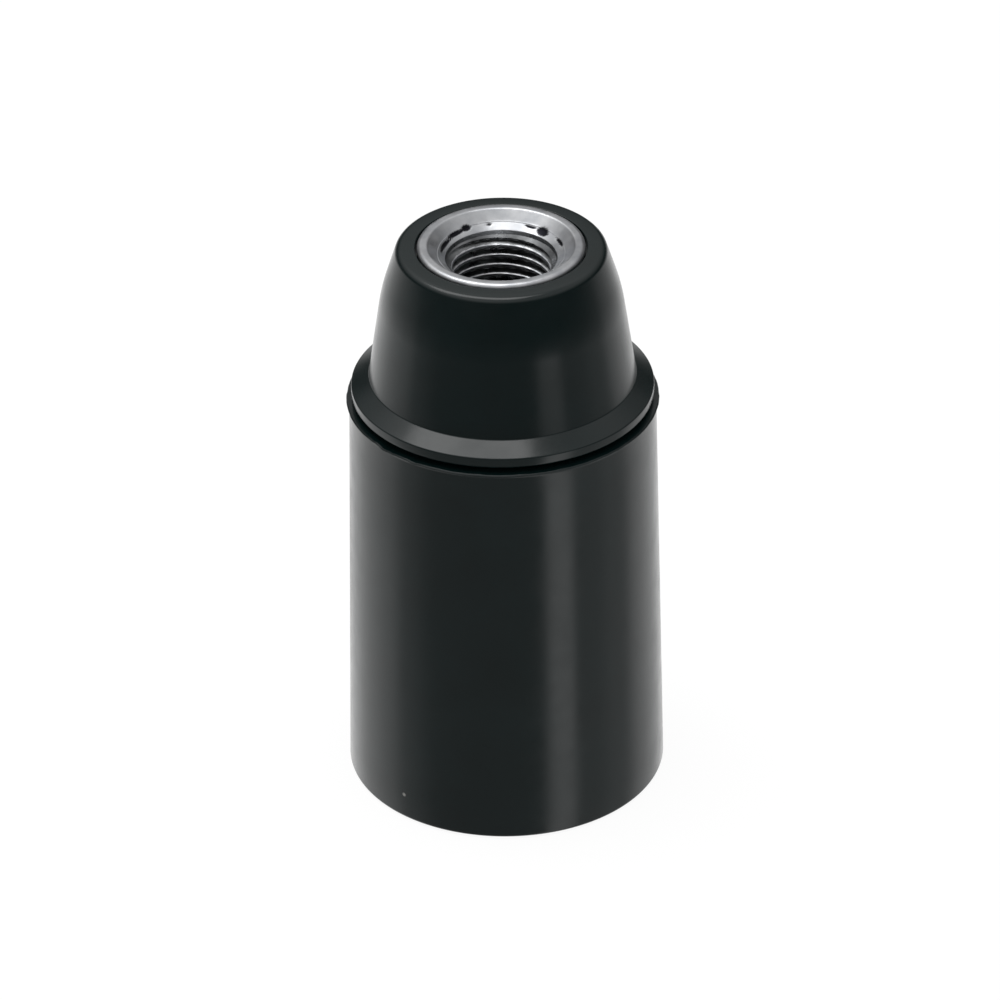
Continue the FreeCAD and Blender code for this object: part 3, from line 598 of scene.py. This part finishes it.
outline = rounded([
    (ENTRY_CREST_R, BUSH_BOTTOM, 0),
    (CLENCH_R, BUSH_BOTTOM, 0.48),
    (CLENCH_R, CLENCH_TOP, 0),
    (SLEEVE_R, CLENCH_TOP, 0),
    (SLEEVE_R, LIP_SEAT, 0),
    (LIP_R, LIP_SEAT, 0.44),
    (LIP_R, BUSH_TOP, 0.44),
    (DISH_MOUTH_R, BUSH_TOP, 0.32),
    (DISH_BEND_R, DISH_FLOOR + 0.55, 2.0),
    (DISH_FLOOR_R, DISH_FLOOR - 0.02, 0.09),
    (THROAT_R, DISH_FLOOR - 0.40, 0),
    (ENTRY_CREST_R, DISH_FLOOR - 0.85, 0),
], steps=8)
outline = subdivided(outline, 0.04, BUSH_BOTTOM, DISH_FLOOR, BORE_BAND)
outline = subdivided(outline, 0.09, DISH_FLOOR - 0.1, BUSH_TOP - 0.2, (5.05, 6.65))
bush = lathe("bush_turned", outline, segments=224)


def entry_form(offset):
    """Sixty-degree thread, rounded a little at its root."""
    half_root, half_crest = 0.06, 0.12
    down = min(1.0, max(0.0, (offset - half_root) / (ENTRY_PITCH / 2 - half_root - half_crest)))
    return ENTRY_ROOT_R + (ENTRY_CREST_R - ENTRY_ROOT_R) * (0.6 * down + 0.4 * down * down * (3 - 2 * down))


cut_thread(bush, BUSH_BOTTOM + 0.3, ENTRY_PITCH, entry_form, BUSH_BOTTOM, DISH_FLOOR - 0.12,
           (BORE_BAND[0], THROAT_R + 0.04))


def metal_group():
    """Plated or worked metal: smudges, uneven gloss and a fine tooth."""
    group, entry, out = group_with(
        "worked_metal",
        [("Vector", "NodeSocketVector", (0, 0, 0)), ("Bright", "NodeSocketColor", (0.8, 0.8, 0.8, 1)),
         ("Dull", "NodeSocketColor", (0.5, 0.5, 0.5, 1)), ("Roughness", "NodeSocketFloat", 0.25)],
        [("Color", "NodeSocketColor"), ("Roughness", "NodeSocketFloat"), ("Height", "NodeSocketFloat")])
    nodes, links = group.nodes, group.links
    vector = entry.outputs["Vector"]

    smudge = range_node(nodes, links, noise_node(nodes, links, vector, 500, 4), 0.35, 0.7, 0, 1)
    tone = colour_node(nodes, links, smudge, entry.outputs["Bright"], entry.outputs["Dull"])
    links.new(tone, out.inputs["Color"])
    uneven = range_node(nodes, links, noise_node(nodes, links, vector, 900, 3), 0.3, 0.7, -0.06, 0.08)
    rough = number_node(nodes, links, "ADD", uneven, entry.outputs["Roughness"])
    links.new(rough, out.inputs["Roughness"])
    links.new(noise_node(nodes, links, vector, 1800, 3), out.inputs["Height"])
    return group


worked_metal = metal_group()


# Painted shade: the near black laid into the punch marks in the bush's dish.
PAINTED_SHADE = (0.02, 0.02, 0.025, 1)


def plated(name, bright, dull, roughness, bump=0.01, shade_attribute=None):
    """Material for a metal piece. Its last argument names the mesh's attribute that says where painted shade
    darkens it.
    """
    values = {"Bright": (*bright, 1), "Dull": (*dull, 1), "Roughness": roughness}
    material, shader, skin = surfaced(name, worked_metal, values, bump_strength=0.4, bump_depth=bump)
    shader.inputs["Metallic"].default_value = 1.0
    if shade_attribute:
        nodes, links = material.node_tree.nodes, material.node_tree.links
        shade_mark = nodes.new("ShaderNodeAttribute")
        shade_mark.attribute_name = shade_attribute
        shaded = colour_node(nodes, links, shade_mark.outputs["Fac"], skin.outputs["Color"], PAINTED_SHADE)
        links.new(shaded, shader.inputs["Base Color"])
    return material


def dress(node, material):
    """Gives a solid of the frame its material."""
    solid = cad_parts[node]
    solid.data.materials.clear()
    solid.data.materials.append(material)


PUNCH_DEPTH = 0.07
# The darkening in a punch mark is painted shade, deepest at the mark's middle.
PUNCH_SHADE_EDGE = 2.5              # how soon a mark turns dark from its edge inwards
STAKES = (                    # the punch's marks in the dish: angle, half angle, radius, half width
    (47.0, 8.0, 5.55, 0.40),
    (61.0, 7.0, 5.62, 0.13),
    (20.0, 9.0, 5.68, 0.15),
    (101.0, 2.2, 5.60, 0.15),
    (124.0, 6.0, 5.70, 0.28),
    (138.0, 14.0, 5.62, 0.20),
    (160.0, 17.0, 5.48, 0.18),
)


def staked(point):
    """How deep inside a punch mark a point in metres lies: 0 outside, up to 1 in its middle."""
    radius, angle = math.hypot(point.x, point.y) / MM, math.degrees(math.atan2(point.y, point.x)) % 360
    uneven = 0.25 * math.sin(angle * 1.9) * math.sin(radius * 23)
    return max([0.0] + [1 + uneven - ((angle - a) / half) ** 2 - ((radius - r) / wide) ** 2
                        for a, half, r, wide in STAKES])


ZINC_BRIGHT, ZINC_DULL, ZINC_ROUGHNESS = (0.83, 0.84, 0.86), (0.58, 0.60, 0.63), 0.34
zinc = plated("zinc_plate", ZINC_BRIGHT, ZINC_DULL, ZINC_ROUGHNESS)
# Darker steel for the entry thread's flanks and roots: partly oil in the thread, partly painted shade in its
# valleys.
oil_and_valley_shade_steel = plated("oil_and_painted_shade_steel", (0.36, 0.37, 0.38), (0.16, 0.165, 0.17), roughness=0.30)
punch_shaded_zinc = plated("punch_shaded_zinc", ZINC_BRIGHT, ZINC_DULL, ZINC_ROUGHNESS, shade_attribute="punch_shade")
finish_piece(bush, punch_shaded_zinc, "cap", "zinc_steel", "entry_bush")
# Each punch mark is pressed in as a shallow dent and gets painted shade, darkest at its middle.
punch_shade = bush.data.attributes.new("punch_shade", "FLOAT", "POINT")
thread_top = (DISH_FLOOR - 0.1) * MM
for vertex, shade_mark in zip(bush.data.vertices, punch_shade.data):
    if vertex.co.z > thread_top:
        depth = staked(vertex.co)
        shade_mark.value = min(1.0, PUNCH_SHADE_EDGE * depth)
        vertex.co.z -= PUNCH_DEPTH * MM * min(1.0, depth)
# Painted shade, partly oil: faces on the thread's flanks and roots below the dish take the darker steel.
bush.data.materials.append(oil_and_valley_shade_steel)
for face in bush.data.polygons:
    radius = math.hypot(face.center.x, face.center.y) / MM
    if face.center.z < thread_top and ENTRY_CREST_R + 0.10 < radius < ENTRY_ROOT_R + 0.06:
        face.material_index = 1
dress("bush_washer", zinc)


# ---- Screw shell ----------------------------------------------------------------------------------
# Sheet brass with a nickel finish, rolled to the lamp's knuckle thread. Its mouth is turned out to a rim,
# and two lugs at its top are riveted to the core.
nickel = plated("nickel_sheet", (0.80, 0.76, 0.68), (0.66, 0.62, 0.55), roughness=0.20, bump=0.006)
dress("screw_shell", nickel)


# ---- Insulating core ------------------------------------------------------------------------------
# A second phenolic moulding, duller than the skirt, that holds both poles apart. It sits on the skirt's
# ledge, and the cap's spigot clamps it there.
core_phenolic = phenolic("core_phenolic", dark=(0.012, 0.0115, 0.011), light=(0.020, 0.019, 0.018),
                         roughness=0.42, dust=0.3)
dress("insulator_core", core_phenolic)


# ---- Centre contact -------------------------------------------------------------------------------
# A strip of spring bronze, riveted flat in the core's channel at one end. It falls away from a bend to a
# rounded nose that the lamp presses up.
leaf_low, leaf_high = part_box("centre_contact")
LEAF_SHEET = 0.40
LEAF_WIDTH = 3.2
LEAF_FALL = math.radians(48.0)
TAIL_RISE = math.radians(35.0)
TAIL_LENGTH = 1.4
LEAF_BEND_R = 0.8             # along the strip's middle, as the nose's radius below
NOSE_R = 1.3


def leaf_line():
    """The strip's middle line as (y, z) in millimetres, from the riveted end to the tail."""
    pad_z = leaf_high.z / MM - LEAF_SHEET / 2
    nose_z = leaf_low.z / MM + LEAF_SHEET / 2 + NOSE_R
    touch = (-NOSE_R * math.sin(LEAF_FALL), nose_z - NOSE_R * math.cos(LEAF_FALL))
    bend_y = touch[0] - (pad_z - touch[1]) / math.tan(LEAF_FALL)
    bend_start = bend_y - LEAF_BEND_R * math.tan(LEAF_FALL / 2)
    line = [(leaf_low.y / MM, pad_z)]
    for n in range(9):
        angle = LEAF_FALL * n / 8
        line.append((bend_start + LEAF_BEND_R * math.sin(angle), pad_z - LEAF_BEND_R * (1 - math.cos(angle))))
    for n in range(17):
        angle = -LEAF_FALL + (LEAF_FALL + TAIL_RISE) * n / 16
        line.append((NOSE_R * math.sin(angle), nose_z - NOSE_R * math.cos(angle)))
    end_y, end_z = line[-1]
    line.append((end_y + TAIL_LENGTH * math.cos(TAIL_RISE), end_z + TAIL_LENGTH * math.sin(TAIL_RISE)))
    return line, bend_start


def bent_strip(name, line, width, sheet):
    """A strip extruded edge by edge along a line of (y, z), then given its thickness. In millimetres."""
    bpy.ops.object.select_all(action="DESELECT")
    (y, z), (next_y, next_z) = line[:2]
    bpy.ops.mesh.primitive_plane_add(size=1, location=(0, (y + next_y) / 2 * MM, z * MM))
    strip = bpy.context.object
    strip.name = name
    strip.scale = (width * MM, (next_y - y) * MM, 1)
    bpy.ops.object.transform_apply(location=True, rotation=True, scale=True)
    bpy.ops.object.mode_set(mode="EDIT")
    bpy.ops.mesh.select_mode(type="EDGE")
    mesh = bmesh.from_edit_mesh(strip.data)
    for edge in mesh.edges:
        edge.select_set(all(vertex.co.y > (next_y - 0.01) * MM for vertex in edge.verts))
    mesh.select_flush_mode()
    bmesh.update_edit_mesh(strip.data)
    for (y, z), (next_y, next_z) in zip(line[1:], line[2:]):
        step = (0, (next_y - y) * MM, (next_z - z) * MM)
        bpy.ops.mesh.extrude_edges_move(TRANSFORM_OT_translate={"value": step})
    bpy.ops.object.mode_set(mode="OBJECT")
    thickness = strip.modifiers.new("sheet", "SOLIDIFY")
    thickness.thickness = sheet * MM
    thickness.offset = 0
    bpy.ops.object.modifier_apply(modifier=thickness.name)
    edges = strip.modifiers.new("edges", "BEVEL")
    edges.width = 0.05 * MM
    edges.segments = 2
    edges.limit_method = "ANGLE"
    bpy.ops.object.modifier_apply(modifier=edges.name)
    return strip


bronze = plated("spring_bronze", (0.86, 0.58, 0.34), (0.66, 0.42, 0.22), roughness=0.24)
line, bend_start = leaf_line()
leaf = bent_strip("contact_leaf", line, LEAF_WIDTH, LEAF_SHEET)
bpy.ops.object.shade_smooth_by_angle(angle=SMOOTH_BELOW)
leaf.data.materials.append(bronze)
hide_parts("centre_contact")
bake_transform(leaf)


# ---- Terminals ------------------------------------------------------------------------------------
# Each pole has a brass plate on the core, with a plated M3 screw and a square washer with cropped corners
# that clamp the conductor down on it.
brass = plated("bright_brass", (0.90, 0.74, 0.40), (0.72, 0.56, 0.27), roughness=0.22)
for pole in ("neutral", "live"):
    dress(pole + "_terminal", brass)
    dress(pole + "_clamp_washer", zinc)
    dress(pole + "_terminal_screw", zinc)


# ---- Rivets ---------------------------------------------------------------------------------------
# Brass rivets fix the shell and the leaf to the core. Two of them also carry the current up to the plates.
for node in ("neutral_rivet", "shell_rivet", "live_rivet"):
    dress(node, brass)
